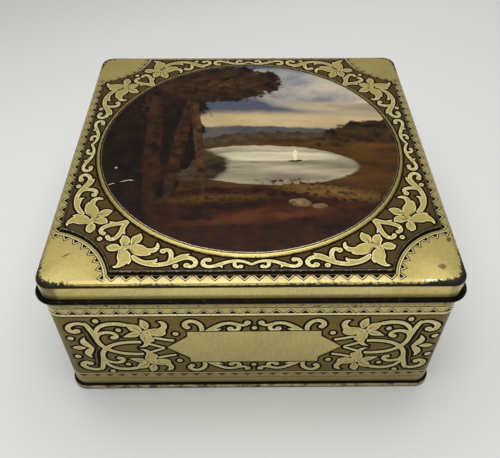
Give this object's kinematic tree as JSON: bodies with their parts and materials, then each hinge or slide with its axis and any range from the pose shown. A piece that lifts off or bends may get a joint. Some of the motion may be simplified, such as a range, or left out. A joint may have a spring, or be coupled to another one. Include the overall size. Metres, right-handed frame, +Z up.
{
  "type": "cookie tin",
  "caption": "Square printed tinplate cookie tin with a lift-off lid, rolled edges, a raised panel and a round medallion on top.",
  "frame": {"origin": "middle of the footprint, on the plane the tin stands on", "axes": "+Z up out of the mouth, +Y towards the back wall that holds the lock seam, +X to the right"},
  "size_m": [0.2078, 0.2078, 0.098],
  "materials": {
    "lid_tinplate": "gold lacquered and printed tinplate, satin gloss",
    "wall_tinplate": "gold and brown printed tinplate, satin gloss",
    "base_tinplate": "bare tinplate, dull",
    "picture_print": "varnished landscape print on tinplate, glossy",
    "worn_edge": "rolled edges rubbed down to dark steel with traces of gold varnish"
  },
  "bodies": {
    "tin": {"side_wall": "wall_tinplate", "base_plate": "base_tinplate"},
    "lid": {"lid": "lid_tinplate"}
  },
  "joints": [
    {"name": "lid_lift", "type": "slide", "parent": "tin", "child": "lid", "axis": [0, 0, 1], "range_m": [0, 0.12]}
  ]
}
